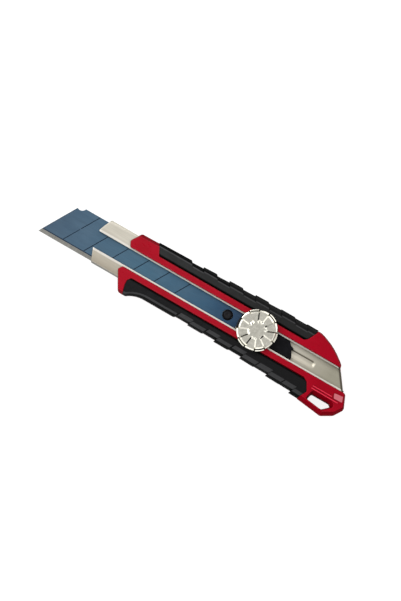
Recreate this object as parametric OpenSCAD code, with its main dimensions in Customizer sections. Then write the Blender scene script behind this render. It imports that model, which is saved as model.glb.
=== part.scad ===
// Heavy-duty snap-off knife with a wheel lock.
// +X runs from the blade's tip to the tail, +Y towards the blade's spine, +Z out of the broad front face.
// The origin lies on the back rest face, under the blade's centre line, half-way along the handle.

/* [Blade] */
// Width of the blade
blade_w = 25; // [24:0.5:25]
// Thickness of the blade
blade_t = 0.7; // [0.5:0.1:0.8]
// Overall length of the blade from its tip
blade_l = 129.3; // [126:0.1:130]
// Angle between the score lines and the cutting edge
blade_angle = 60; // [58:1:62]
// Distance between score lines
score_pitch = 14; // [12:0.5:14]
// Number of score lines
score_count = 6; // [4:1:6]
// Width of the ground cutting edge
edge_w = 2.3; // [1.5:0.1:2.6]

/* [Channel] */
// Outside width of the steel channel
channel_w = 27.6; // [27.2:0.1:27.8]
// Thickness of the channel's sheet
sheet_t = 1; // [0.8:0.1:1]
// Width of the slot between the channel's lips
slot_w = 10; // [10:0.1:10.4]

/* [Handle] */
// Thickness of the handle without the back pad
handle_t = 12.7; // [12.7:0.1:13]
// Width of the gap between the two red rails
rail_gap = 12; // [12:0.1:12.4]
// Height of the raised ribs on the soft grips
rib_h = 0.75; // [0.4:0.05:1]

/* [Lock wheel] */
// Radius of the wheel's base ring
wheel_r = 12.6; // [11:0.1:13]
// Height of the wheel above the rails
wheel_h = 5.4; // [5:0.1:6]
// Number of raised spokes
spoke_count = 6; // [4:1:6]
// Radius of the M5 stud
stud_r = 2.45; // [2.3:0.05:2.45]

/* [Travel] */
// Slide travel towards the tail
travel_back = 35; // [30:1:35]
// Slide travel towards the tip
travel_front = 75; // [60:1:75]

/* [Hidden] */
$fn = 64;
eps = 0.05;

// Heights
cover_z = 0.6;                        // back face of the hard shell, behind the soft pad
cover_floor_z = 2;                    // inside of the back cover
part_z = 3.4;                         // parting line between cover and body
web_z = 4.2;                          // underside of the web below the channel
floor_z = 6;                          // underside of the channel
inner_z = floor_z + sheet_t;          // top of the channel floor
lip_z = inner_z + 2.8;                // underside of the lips
lip_top_z = lip_z + sheet_t;
ledge_z = 11.6;                       // seat of the soft grips on the front face
top_z = cover_z + handle_t;           // top of the rails
grip_top_z = top_z - 0.1;
carrier_z = inner_z + eps;
carrier_t = 0.6;
blade_z = carrier_z + carrier_t + eps;
deck_z = lip_top_z + 0.4;             // top of the slider behind the wheel
wheel_z = top_z + 0.3;
wheel_top_z = wheel_z + wheel_h;

// Places along the handle
tip_x = -129.7;
blade_rear_x = tip_x + blade_l;
hole_x = blade_rear_x - 7.5;
wheel_x = 11.9;
groove_rear_x = 52;
key_w = 1.6;                          // stop key under the carrier
key_l = 1;
key_gap = 0.3;                        // left between the key and the groove's round ends
key_x = groove_rear_x - travel_back - key_gap - key_l;
groove_front_x = key_x - travel_front - key_gap;
groove_r = 1.5;
groove_depth = 0.8;
insert_r = 4;
section_reach = 12;                   // how far an edge cut reaches outwards
screw_places = [[-66, 9.5], [-66, -9.5], [46, 9.5], [46, -9.5], [75, -12]];
screw_r = 1.1;
boss_r = 2.6;
rivet_places = [[54, 10.6], [54, -10.6]];
rivet_r = 0.9;
rivet_head_r = 1.4;
rivet_head_h = 0.6;
carrier_rivet_places = [[23.2, 6.8], [23.2, -6.8]];

red = [0.78, 0.07, 0.15];
black = [0.12, 0.13, 0.13];
steel = [0.80, 0.78, 0.72];
chrome = [0.84, 0.84, 0.82];

// Points with a corner radius, [x, y, r], turned into an outline with round corners
function unit(v) = v / norm(v);
function xy(p) = [p[0], p[1]];
function turn(a) = a > 180 ? a - 360 : (a < -180 ? a + 360 : a);
function corner(p, q, s, r, n) =
  r == 0 ? [q] :
  let (a = unit(p - q), b = unit(s - q), half = acos(a * b) / 2, c = q + unit(a + b) * r / sin(half),
       from = q + a * r / tan(half) - c, to = q + b * r / tan(half) - c,
       a0 = atan2(from[1], from[0]), sweep = turn(atan2(to[1], to[0]) - a0))
  [for (k = [0:n]) c + r * [cos(a0 + sweep * k / n), sin(a0 + sweep * k / n)]];
function rounded(pts, n = 6) = let (m = len(pts))
  [for (i = [0:m - 1])
    each corner(xy(pts[(i + m - 1) % m]), xy(pts[i]), xy(pts[(i + 1) % m]), pts[i][2], n)];

// Side outlines of the soft grips: lands are the ribs' crests
function upper_land(x) = let (d = max(30 - x, 0)) 18.65 - 0.0185 * d - 0.00007 * d * d;
function lower_land(x) = 17.05 + 0.0023 * pow(max(x + 31.4, 0), 1.75);
upper_steps = [-63, -42, -33.6, -24.6, -15.9, -6.7, 1.2, 11.2, 18.4, 28.3, 36.6, 43.3];
lower_steps = [-57, -33.8, -24.8, -15.4, -6.4, 2.6, 11.6, 20.8, 29.6, 38.4, 47.4, 51.8];
function ribbed(steps, y, side) = [for (i = [0:len(steps) - 2]) let (drop = i % 2 == 0 ? 0 : rib_h)
  each [[steps[i] + (i == 0 ? 0 : 0.3), side * (y[i] - drop)],
        [steps[i + 1] - 0.3, side * (y[i + 1] - drop)]]];
upper_ribs = ribbed(upper_steps, [for (x = upper_steps) upper_land(x)], 1);
lower_ribs = ribbed(lower_steps, [for (x = lower_steps) lower_land(x)], -1);

// Plan outline of the handle's hard shell
body_outline = rounded([
  [-77.6, 6, 0.8], [-79.9, 9, 1.6], [-75.5, 16.2, 1.8], [-63, 16.3, 0], [-63, 15, 0],
  [43.4, 15, 0], [43.4, 18.5, 0], [46.6, 18.6, 2.5], [52.3, 16.4, 5], [60.7, 11.8, 9],
  [64.8, 8.2, 1.5], [65.6, 5.8, 0], [74.2, -5.7, 0], [75.9, -5.7, 0.8], [79.5, -14.5, 2],
  [75.6, -20.6, 4], [71.2, -24.8, 2], [51.8, -22.2, 0], [51.8, -17.8, 0], [10, -15.2, 0],
  [-60, -15, 0], [-66, -19, 0], [-66, -20.4, 0], [-71.2, -20.4, 1.6], [-77.9, -8.8, 1], [-76.2, -6, 1]]);
upper_grip_outline = concat(upper_ribs,
  [[43.8, 18.2], [43, 16], [40.4, 11.2], [39.4, 10.5], [-59.9, 10.5]]);
lower_grip_outline = concat(
  [[-68.9, -12.4], [-68.4, -11.2], [-67.2, -10.6], [49.8, -10.4], [51.6, -11.4], [54.6, -16.4],
   [54.6, -17.2], [53.1, -19.2], [51.8, -22.2]],
  [for (i = [len(lower_ribs) - 2:-1:1]) lower_ribs[i]],
  [[-57, -17.1], [-59.4, -17.4], [-61.6, -18.4], [-63.6, -19.9], [-64.6, -20.5], [-67.7, -20.4],
   [-67.1, -19.3], [-68.7, -15]]);
lanyard_outline = rounded([[58, -15.8, 1.2], [69.6, -15.8, 1], [71.4, -17.3, 0.8], [67.4, -21, 1.2],
  [57, -20.1, 1.2]]);
pad_outline = rounded([[-58, 9, 3], [38, 9, 3], [38, -10, 3], [-58, -10, 3]]);

// A prism with a (y, z) section that runs along X
module along_x(x0, x1) {
  translate([x0, 0, 0]) rotate([90, 0, 90]) linear_extrude(x1 - x0) children();
}

// A slot with round ends along X, in plan
module plan_slot(x0, x1, r) {
  for (x = [x0 + r, x1 - r]) translate([x, 0]) circle(r);
  translate([x0 + r, -r]) square([x1 - x0 - 2 * r, 2 * r]);
}

// Removes the outer long edge of a face: the cut starts on the line and falls away at the slope
module edge_cut(from, to, z, slope) {
  out = from[1] > 0 ? section_reach : -section_reach;
  above = z + sign(slope) * section_reach;
  translate([from[0], from[1], 0]) rotate([0, 0, atan2(to[1] - from[1], to[0] - from[0])])
    along_x(0, norm(to - from))
      polygon([[0, z], [out, z - slope * section_reach], [out, above], [0, above]]);
}

// Long edges on the spine side
module upper_edge_cuts() {
  edge_cut([-82, 14.6], [66, 15.4], top_z, 1.8);
  edge_cut([-82, 13.2], [66, 14.6], cover_z, -1.3);
}

// Long edges on the cutting side: the soft grip's stretch, and the nose and the tail
module lower_grip_cuts() {
  edge_cut([-57, -14.1], [62, -17.5], top_z, 1.3);
  edge_cut([-90, -13], [62, -17.5], cover_z, -1.2);
}

module lower_body_cuts() {
  edge_cut([-90, -19], [-66, -19], top_z, 1.6);
  edge_cut([51.8, -20.4], [84, -24.2], top_z, 1.6);
  edge_cut([-90, -16.5], [-60, -16.5], cover_z, -1.6);
  edge_cut([51.8, -17.6], [84, -21.6], cover_z, -1.2);
}

module blade() {
  rise = tan(90 - blade_angle);
  front_x = tip_x + blade_w / 2 * rise;
  edge_half = 0.03;
  groove_w = 0.35;
  groove_cut = 0.15;
  edge_face = [[-blade_w / 2 - 1, blade_t], [-blade_w / 2 - 1, blade_t / 2 + edge_half],
    [-blade_w / 2, blade_t / 2 + edge_half], [-blade_w / 2 + edge_w, blade_t],
    [-blade_w / 2 + edge_w, blade_t + 1]];
  color([0.30, 0.38, 0.45]) translate([0, 0, blade_z]) difference() {
    linear_extrude(blade_t) difference() {
      polygon([[tip_x, -blade_w / 2], [blade_rear_x, -blade_w / 2], [blade_rear_x, blade_w / 2],
               [front_x + blade_w / 2 * rise, blade_w / 2]]);
      translate([front_x + blade_w / 2 * rise + 1.1, blade_w / 2 + 0.9]) circle(3.1);
      translate([hole_x, 0]) circle(3.3);
    }
    along_x(tip_x - 1, blade_rear_x + 1) polygon(edge_face);
    translate([0, 0, blade_t]) mirror([0, 0, 1]) along_x(tip_x - 1, blade_rear_x + 1) polygon(edge_face);
    for (k = [1:score_count])
      translate([front_x + k * score_pitch, 0, blade_t - groove_cut]) rotate([0, 0, -90 + blade_angle])
        translate([-groove_w / 2, -blade_w, 0]) cube([groove_w, 2 * blade_w, 1]);
  }
}

module blade_channel() {
  half = channel_w / 2;
  section = rounded([[-half, floor_z, 1.8], [half, floor_z, 1.8], [half, lip_top_z, 1.8],
    [slot_w / 2, lip_top_z, 0], [slot_w / 2, lip_z, 0], [half - sheet_t, lip_z, 0.8],
    [half - sheet_t, inner_z, 0.8],
    [-half + sheet_t, inner_z, 0.8], [-half + sheet_t, lip_z, 0.8], [-slot_w / 2, lip_z, 0],
    [-slot_w / 2, lip_top_z, 0], [-half, lip_top_z, 1.8]]);
  plan = rounded([[-94.8, half + 1, 0], [-98.8, 5, 1.2], [-96.6, -5, 0.4], [-92.7, -half - 1, 0],
    [74, -half - 1, 0], [74, -5.7, 0], [65.8, 5.3, 0], [60.6, 6.2, 0], [60.6, half + 1, 0]]);
  color(steel) difference() {
    union() {
      intersection() {
        along_x(-100, 78) polygon(section);
        translate([0, 0, floor_z - 1]) linear_extrude(8) polygon(plan);
      }
      translate([0, 0, floor_z - groove_depth]) linear_extrude(groove_depth)
        plan_slot(groove_front_x - groove_depth, groove_rear_x + groove_depth, groove_r + groove_depth);
    }
    translate([0, 0, inner_z - groove_depth]) linear_extrude(2 * groove_depth)
      plan_slot(groove_front_x, groove_rear_x, groove_r);
    for (p = rivet_places) translate([p[0], p[1], floor_z - 1]) cylinder(h = 3, r = rivet_r + eps);
  }
}

module channel_rivets() {
  color(steel) for (p = rivet_places) translate([p[0], p[1], 0]) {
    for (z = [web_z - rivet_head_h, inner_z]) translate([0, 0, z])
      cylinder(h = rivet_head_h, r = rivet_head_r);
    translate([0, 0, web_z - 0.3]) cylinder(h = inner_z - web_z + 0.6, r = rivet_r);
  }
}

// Seat of a soft grip in the body's front face
module grip_space(outline) {
  translate([0, 0, ledge_z]) linear_extrude(5) polygon(outline);
}

module lanyard_slot() {
  translate([0, 0, -1]) linear_extrude(20) polygon(lanyard_outline);
}

module main_body() {
  pocket = channel_w / 2 + 0.1;
  wall = 1.2;
  color(red) difference() {
    translate([0, 0, part_z]) linear_extrude(top_z - part_z) polygon(body_outline);
    // pocket for the channel, closed behind its rear end
    translate([0, 0, floor_z]) linear_extrude(lip_top_z - floor_z + eps)
      polygon([[-90, -pocket], [74.1, -pocket], [74.1, -5.7], [90, -27], [90, 0], [60.7, 7], [60.7, pocket],
               [-90, pocket]]);
    // gap between the rails
    translate([-90, -rail_gap / 2, lip_top_z]) cube([180, rail_gap, 5]);
    // relief for the floor groove
    translate([0, 0, floor_z - groove_depth - 0.1]) linear_extrude(2)
      plan_slot(-65, 57, groove_r + groove_depth + 0.2);
    // hollow underside, with bosses for the screws
    difference() {
      translate([0, 0, part_z - 1]) linear_extrude(web_z - part_z + 1)
        polygon([[-74, 13], [58, 13.5], [62, 6.5], [71, -7.5], [74.5, -9.5], [71, -14.5], [56, -14.5],
                 [50, -17], [8, -14], [-60, -14], [-70, -16]]);
      for (p = screw_places) translate([p[0], p[1], 0]) cylinder(h = 10, r = boss_r);
    }
    for (p = screw_places) translate([p[0], p[1], part_z - 1])
      cylinder(h = floor_z - part_z + 0.6, r = screw_r + eps);
    for (p = rivet_places) translate([p[0], p[1], part_z - 1]) cylinder(h = 5, r = rivet_r + eps);
    grip_space(upper_grip_outline);
    grip_space(lower_grip_outline);
    lanyard_slot();
    upper_edge_cuts();
    lower_body_cuts();
  }
  // the bosses reach down to the cover's floor
  color(red) for (p = screw_places) translate([p[0], p[1], cover_floor_z]) difference() {
    cylinder(h = part_z - cover_floor_z, r = boss_r);
    translate([0, 0, -1]) cylinder(h = 5, r = screw_r + eps);
  }
}

module back_cover() {
  color(red) difference() {
    translate([0, 0, cover_z]) linear_extrude(part_z - cover_z) polygon(body_outline);
    difference() {
      translate([0, 0, cover_floor_z]) linear_extrude(5)
        polygon([[-74.5, 12.6], [57, 13], [62, 6], [71, -7.5], [76.4, -9.3], [77.6, -13.6], [73, -14.5],
                 [56, -14.5], [50, -17], [8, -14], [-60, -14], [-70, -16]]);
      translate([54, -22.5, 0]) cube([19, 8, 9]);
    }
    for (p = screw_places) translate([p[0], p[1], cover_floor_z]) cylinder(h = 5, r = boss_r + eps);
    // seat of the soft pad
    translate([0, 0, cover_z - 1]) linear_extrude(1.8) polygon(pad_outline);
    for (p = screw_places) translate([p[0], p[1], 0]) {
      cylinder(h = 9, r = screw_r + 0.2);
      cylinder(h = cover_z + 0.9, r = 2.3);
    }
    lanyard_slot();
    upper_edge_cuts();
    edge_cut([-60, -13.4], [51.8, -17], cover_z, -1.2);
    lower_body_cuts();
  }
}

module back_grip() {
  pad_t = cover_z + 0.8;
  color(black) difference() {
    linear_extrude(pad_t) polygon(pad_outline);
    for (i = [0:14]) translate([-52 + i * 6, -7, -1]) cube([2, 13, 1.35]);
  }
}

// A grip: the ledge on the front face and the skirt down the side; its children are cut away
module soft_grip(outline, inner) {
  color(black) difference() {
    union() {
      translate([0, 0, ledge_z]) linear_extrude(grip_top_z - ledge_z) polygon(outline);
      translate([0, 0, part_z]) linear_extrude(ledge_z - part_z) difference() {
        polygon(outline);
        polygon(inner);
      }
    }
    children();
  }
}

module upper_grip() {
  soft_grip(upper_grip_outline, body_outline) upper_edge_cuts();
}

module lower_grip() {
  soft_grip(lower_grip_outline, body_outline) lower_grip_cuts();
}

module body_screws() {
  color([0.25, 0.25, 0.27]) for (p = screw_places) translate([p[0], p[1], 0]) difference() {
    union() {
      translate([0, 0, cover_z + 0.1]) cylinder(h = 0.8, r = 2.1);
      translate([0, 0, cover_z + 0.5]) cylinder(h = 4.3, r = screw_r);
    }
    for (a = [0, 90]) rotate([0, 0, a]) translate([-1.2, -0.25, cover_z]) cube([2.4, 0.5, 0.5]);
  }
}

function slant_x(y) = 34.6 - 0.68 * y;
module slider() {
  deck = slot_w / 2 - 0.15;
  wing = 9;
  color([0.07, 0.07, 0.09]) difference() {
    union() {
      translate([0, 0, carrier_z + carrier_t]) linear_extrude(lip_z - eps - carrier_z - carrier_t)
        polygon([[0.2, wing], [0.2, -wing], [25, -wing], [25, wing]]);
      translate([0, 0, carrier_z + carrier_t]) linear_extrude(deck_z - carrier_z - carrier_t)
        polygon(rounded([[0.2, deck, 0], [0.2, -deck, 0], [slant_x(-deck), -deck, 0.6],
                         [slant_x(deck), deck, 0.6]]));
    }
    // window for the clamp plate
    translate([wheel_x - 8.3, -8.4, inner_z]) cube([16.6, 16.8, lip_z - inner_z]);
    // seat of the washers and hole for the stud
    translate([wheel_x, 0, lip_top_z - 0.2]) cylinder(h = 3, r = 6.2);
    translate([wheel_x, 0, inner_z]) cylinder(h = 6, r = stud_r + 0.25);
    // pocket for the drag spring
    translate([21.2, -2.8, inner_z]) cube([10.2, 5.6, 2.45]);
    for (p = carrier_rivet_places) translate([p[0], p[1], inner_z]) cylinder(h = 2, r = 1);
  }
}

module blade_carrier() {
  color(steel) difference() {
    union() {
      translate([0, 0, carrier_z]) linear_extrude(carrier_t)
        polygon(rounded([[-14, 3.6, 1], [-14, -3.6, 1], [0.4, -3.6, 0], [0.4, -9, 0], [25, -9, 0],
                         [25, -4.5, 0], [slant_x(-4.5), -4.5, 0], [slant_x(4.5), 4.5, 0], [25, 4.5, 0],
                         [25, 9, 0], [0.4, 9, 0], [0.4, 3.6, 0]]));
      // stop key that runs in the floor groove
      translate([key_x, -key_w / 2, carrier_z - 0.6]) cube([key_l, key_w, 0.9]);
    }
    translate([wheel_x, 0, 0]) cylinder(h = 20, r = 3.6);
    translate([hole_x, 0, 0]) cylinder(h = 20, r = 1.5);
    translate([25.5, -2.6, 0]) cube([6, 5.2, 20]);
    for (p = carrier_rivet_places) translate([p[0], p[1], 0]) cylinder(h = 20, r = 1);
  }
}

module blade_stud() {
  color([0.10, 0.10, 0.11]) translate([hole_x, 0, 0]) {
    translate([0, 0, carrier_z]) cylinder(h = carrier_t + 0.1, r = 1.5);
    translate([0, 0, carrier_z + carrier_t]) cylinder(h = 1.2, r = 2.6);
    translate([0, 0, carrier_z + carrier_t + 1.2]) cylinder(h = 0.3, r1 = 2.6, r2 = 2.3);
  }
}

module carrier_rivets() {
  color(steel) for (p = carrier_rivet_places) translate([p[0], p[1], carrier_z]) cylinder(h = 1.9, r = 1);
}

module drag_spring() {
  leaf = 0.3;
  crest = inner_z + 2.1;
  foot = carrier_z;
  color(chrome) translate([0, 2.3, 0]) rotate([90, 0, 0]) linear_extrude(4.6)
    polygon([[21.4, crest], [24, crest], [28.4, foot + leaf], [30.6, foot + 1.2], [30.6, foot + 1.2 - leaf],
             [28.4, foot], [23.9, crest - leaf], [21.4, crest - leaf]]);
}

module clamp_plate() {
  color(steel) translate([wheel_x, 0, lip_z - eps - 1.2]) difference() {
    translate([-8, -8.2, 0]) cube([16, 16.4, 1.2]);
    translate([0, 0, -1]) cylinder(h = 4, r = stud_r);
  }
}

module lock_stud() {
  flange_z = lip_z - eps - 1.2 - 0.75;
  neck_z = wheel_top_z - 2.05;
  color([0.55, 0.55, 0.55]) translate([wheel_x, 0, 0]) {
    translate([0, 0, flange_z]) cylinder(h = 0.75, r = 3.4);
    translate([0, 0, flange_z + 0.5]) cylinder(h = neck_z - flange_z - 0.5, r = stud_r);
    translate([0, 0, neck_z - 0.2]) cylinder(h = 0.9, r = 1.9);
    translate([0, 0, neck_z + 0.5]) cylinder(h = 0.3, r = stud_r);
  }
}

module stud_clip() {
  color([0.3, 0.3, 0.32]) translate([wheel_x, 0, wheel_top_z - 2.03]) difference() {
    cylinder(h = 0.45, r = 3.6);
    translate([0, 0, -1]) cylinder(h = 3, r = 1.9);
  }
}

module wheel_insert() {
  color([0.80, 0.66, 0.32]) translate([wheel_x, 0, wheel_z - 1.3]) difference() {
    cylinder(h = 4, r = insert_r);
    translate([0, 0, -1]) cylinder(h = 9, r = stud_r + 0.05);
  }
}

// Profile of the wheel from the hub's foot to the top face
module lock_wheel() {
  pocket_half = 14;
  pocket_z = wheel_top_z - 1.6;
  hub_r = 5.3;
  first_pocket = 37;
  profile = [[0, wheel_z - 1.3], [5.6, wheel_z - 1.3], [5.6, wheel_z], [wheel_r - 0.4, wheel_z],
    [wheel_r, wheel_z + 0.4], [wheel_r, wheel_z + 1.1], [wheel_r - 0.4, wheel_z + 1.5],
    [11.4, wheel_z + 1.5],
    [11.3, wheel_top_z - 1.5], [10.1, wheel_top_z], [0, wheel_top_z]];
  color(chrome) translate([wheel_x, 0, 0]) difference() {
    rotate_extrude() polygon(profile);
    translate([0, 0, wheel_z - 2]) cylinder(h = wheel_h - 0.4 + 1.3, r = insert_r + 0.02);
    for (k = [0:spoke_count - 1]) rotate([0, 0, first_pocket + k * 360 / spoke_count]) {
      // recessed pocket between two spokes, and the scallop in the rim
      intersection() {
        rotate_extrude()
          polygon([[hub_r - 0.4, wheel_top_z + 1], [hub_r - 0.4, wheel_top_z], [hub_r, pocket_z],
            [10.4, pocket_z], [11.8, pocket_z - 1.3], [20, pocket_z - 1.3], [20, wheel_top_z + 1]]);
        linear_extrude(40) polygon([[0, 0], 20 * [cos(pocket_half), -sin(pocket_half)], [20, 0],
          20 * [cos(pocket_half), sin(pocket_half)]]);
      }
      intersection() {
        translate([0, 0, wheel_z - 1]) difference() {
          cylinder(h = 20, r = 20);
          translate([0, 0, -1]) cylinder(h = 30, r = 11.9);
        }
        linear_extrude(40) polygon([[0, 0], 20 * [cos(pocket_half), -sin(pocket_half)], [20, 0],
          20 * [cos(pocket_half), sin(pocket_half)]]);
      }
    }
  }
}

module lip_washer() {
  color(steel) translate([wheel_x, 0, lip_top_z + eps]) difference() {
    cylinder(h = 0.8, r = rail_gap / 2 - 0.15);
    translate([0, 0, -1]) cylinder(h = 3, r = stud_r + 0.25);
  }
}

module spring_washer() {
  base = lip_top_z + eps + 0.85;
  color(chrome) translate([wheel_x, 0, 0])
    rotate_extrude() polygon([[5.4, base], [5.4, base + 0.25], [2.9, base + 0.55], [2.9, base + 0.3]]);
}

blade();
blade_channel();
channel_rivets();
main_body();
back_cover();
upper_grip();
lower_grip();
back_grip();
body_screws();
slider();
blade_carrier();
blade_stud();
carrier_rivets();
drag_spring();
clamp_plate();
lock_stud();
stud_clip();
wheel_insert();
lock_wheel();
lip_washer();
spring_washer();
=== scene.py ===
"""Snap-off knife, 25 mm, with a wheel lock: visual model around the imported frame.

Pieces are built in millimetres in the row frame: +X towards the tail, +Y towards the blade's spine,
+Z out of the front face. Solid.build() turns them into metres.
"""
import math

import bmesh
import bpy
from mathutils import Matrix, Vector
from mathutils.geometry import tessellate_polygon


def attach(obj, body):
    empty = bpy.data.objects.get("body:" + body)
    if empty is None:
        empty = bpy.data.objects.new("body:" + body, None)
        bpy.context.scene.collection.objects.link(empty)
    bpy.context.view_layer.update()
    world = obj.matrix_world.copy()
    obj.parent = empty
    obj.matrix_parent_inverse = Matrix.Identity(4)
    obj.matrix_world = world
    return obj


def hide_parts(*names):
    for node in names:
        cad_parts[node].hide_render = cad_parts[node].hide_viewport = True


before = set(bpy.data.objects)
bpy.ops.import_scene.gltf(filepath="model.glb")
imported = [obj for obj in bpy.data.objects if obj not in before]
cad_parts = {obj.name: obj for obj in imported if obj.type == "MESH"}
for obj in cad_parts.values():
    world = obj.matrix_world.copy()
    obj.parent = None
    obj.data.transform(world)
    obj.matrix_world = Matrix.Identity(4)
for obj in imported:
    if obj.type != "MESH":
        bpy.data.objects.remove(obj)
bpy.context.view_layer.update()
MM = 0.001
scene = bpy.context.scene

# ---------------------------------------------------------------- camera, light and floor

AZIMUTH = 30
ELEVATION = 84.5
FRAME_HEIGHT = 0.3537            # height of the picture at the object, in metres
CAMERA_DISTANCE = 2.5
LOOK_AT = Vector((-0.0259, -0.0008, 0.0108))
# Radiance of the studio by the sine of the elevation, between the softboxes and on them
DARK_SIDE = [(0.0, 0.03), (0.74, 0.03), (0.81, 1.1), (0.92, 1.1), (0.965, 0.60), (1.0, 0.60)]
BRIGHT_SIDE = [(0.0, 1.3), (0.72, 1.5), (0.79, 1.9), (0.91, 1.9), (0.965, 0.60), (1.0, 0.60)]
STUDIO_STRENGTH = 2.0
# Softboxes by the angle from +X towards +Y, in degrees: how far the wall is lit there
SOFTBOXES = [(-180, 1), (-140, 1), (-132, 0.2), (-110, 0.2), (-102, 0.75), (-38, 0.75), (-32, 0), (38, 0),
             (44, 1), (98, 1), (104, 0), (150, 0), (156, 1), (180, 1)]


def direction(azimuth, elevation):
    """Unit vector from the object towards a camera or lamp; azimuth 0 lies on the -Y side."""
    a = math.radians(azimuth)
    e = math.radians(elevation)
    return Vector((math.sin(a) * math.cos(e), -math.cos(a) * math.cos(e), math.sin(e)))


def add_camera():
    data = bpy.data.cameras.new("camera")
    data.sensor_width = 36
    data.lens = data.sensor_width * CAMERA_DISTANCE / FRAME_HEIGHT
    data.clip_start = 0.05
    data.clip_end = 20
    camera = bpy.data.objects.new("camera", data)
    scene.collection.objects.link(camera)
    back = direction(AZIMUTH, ELEVATION)
    camera.location = LOOK_AT + back * CAMERA_DISTANCE
    camera.rotation_euler = (-back).to_track_quat("-Z", "Y").to_euler()
    scene.camera = camera


def add_area_light(name, azimuth, elevation, distance, size, power):
    data = bpy.data.lights.new(name, "AREA")
    data.shape = "DISK"
    data.size = size
    data.energy = power
    lamp = bpy.data.objects.new(name, data)
    scene.collection.objects.link(lamp)
    back = direction(azimuth, elevation)
    lamp.location = LOOK_AT + back * distance
    lamp.rotation_euler = (-back).to_track_quat("-Z", "Y").to_euler()


def add_world():
    """Soft studio: three softboxes on dark walls, a bright ring above them and a dimmer ceiling."""
    world = bpy.data.worlds.new("studio")
    scene.world = world
    world.use_nodes = True
    nodes = world.node_tree.nodes
    links = world.node_tree.links
    coordinates = nodes.new("ShaderNodeTexCoord").outputs["Generated"]
    split = nodes.new("ShaderNodeSeparateXYZ")
    links.new(coordinates, split.inputs[0])
    turn = nodes.new("ShaderNodeMath")
    turn.operation = "ARCTAN2"
    links.new(split.outputs["Y"], turn.inputs[0])
    links.new(split.outputs["X"], turn.inputs[1])
    share = nodes.new("ShaderNodeMapRange")
    share.inputs["From Min"].default_value = -math.pi
    share.inputs["From Max"].default_value = math.pi
    links.new(turn.outputs[0], share.inputs["Value"])
    blend = nodes.new("ShaderNodeMix")
    blend.data_type = "RGBA"
    factor, dark, bright = blend.inputs[0], blend.inputs[6], blend.inputs[7]

    def profile(value, levels):
        node = nodes.new("ShaderNodeValToRGB")
        while len(node.color_ramp.elements) < len(levels):
            node.color_ramp.elements.new(0.5)
        for element, (position, level) in zip(node.color_ramp.elements, levels):
            element.position = position
            element.color = [level] * 3 + [1]
        links.new(value, node.inputs[0])
        return node.outputs[0]

    round_wall = [((angle + 180) / 360, level) for angle, level in SOFTBOXES]
    links.new(profile(share.outputs[0], round_wall), factor)
    for socket, levels in ((dark, DARK_SIDE), (bright, BRIGHT_SIDE)):
        links.new(profile(split.outputs["Z"], [(z, level / STUDIO_STRENGTH) for z, level in levels]), socket)
    links.new(blend.outputs[2], nodes["Background"].inputs["Color"])
    nodes["Background"].inputs["Strength"].default_value = STUDIO_STRENGTH


def add_floor():
    """White acrylic light table."""
    mesh = bpy.data.meshes.new("floor")
    half = 3.0
    corners = [(-half, -half, 0), (half, -half, 0), (half, half, 0), (-half, half, 0)]
    mesh.from_pydata(corners, [], [(0, 1, 2, 3)])
    floor = bpy.data.objects.new("floor", mesh)
    scene.collection.objects.link(floor)
    paper = bpy.data.materials.new("floor_paper")
    paper.use_nodes = True
    shader = paper.node_tree.nodes["Principled BSDF"]
    shader.inputs["Base Color"].default_value = (0.30, 0.30, 0.30, 1)
    shader.inputs["Roughness"].default_value = 0.9
    shader.inputs["Specular IOR Level"].default_value = 0.1
    shader.inputs["Emission Color"].default_value = (1, 1, 1, 1)
    shader.inputs["Emission Strength"].default_value = 0.85
    mesh.materials.append(paper)


add_camera()
add_world()
add_floor()
add_area_light("key_light", azimuth=240, elevation=52, distance=1.3, size=0.4, power=3.2)
add_area_light("edge_light", azimuth=-15, elevation=32, distance=1.3, size=0.2, power=1.1)
scene.view_settings.view_transform = "Standard"

# ---------------------------------------------------------------- materials


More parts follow.
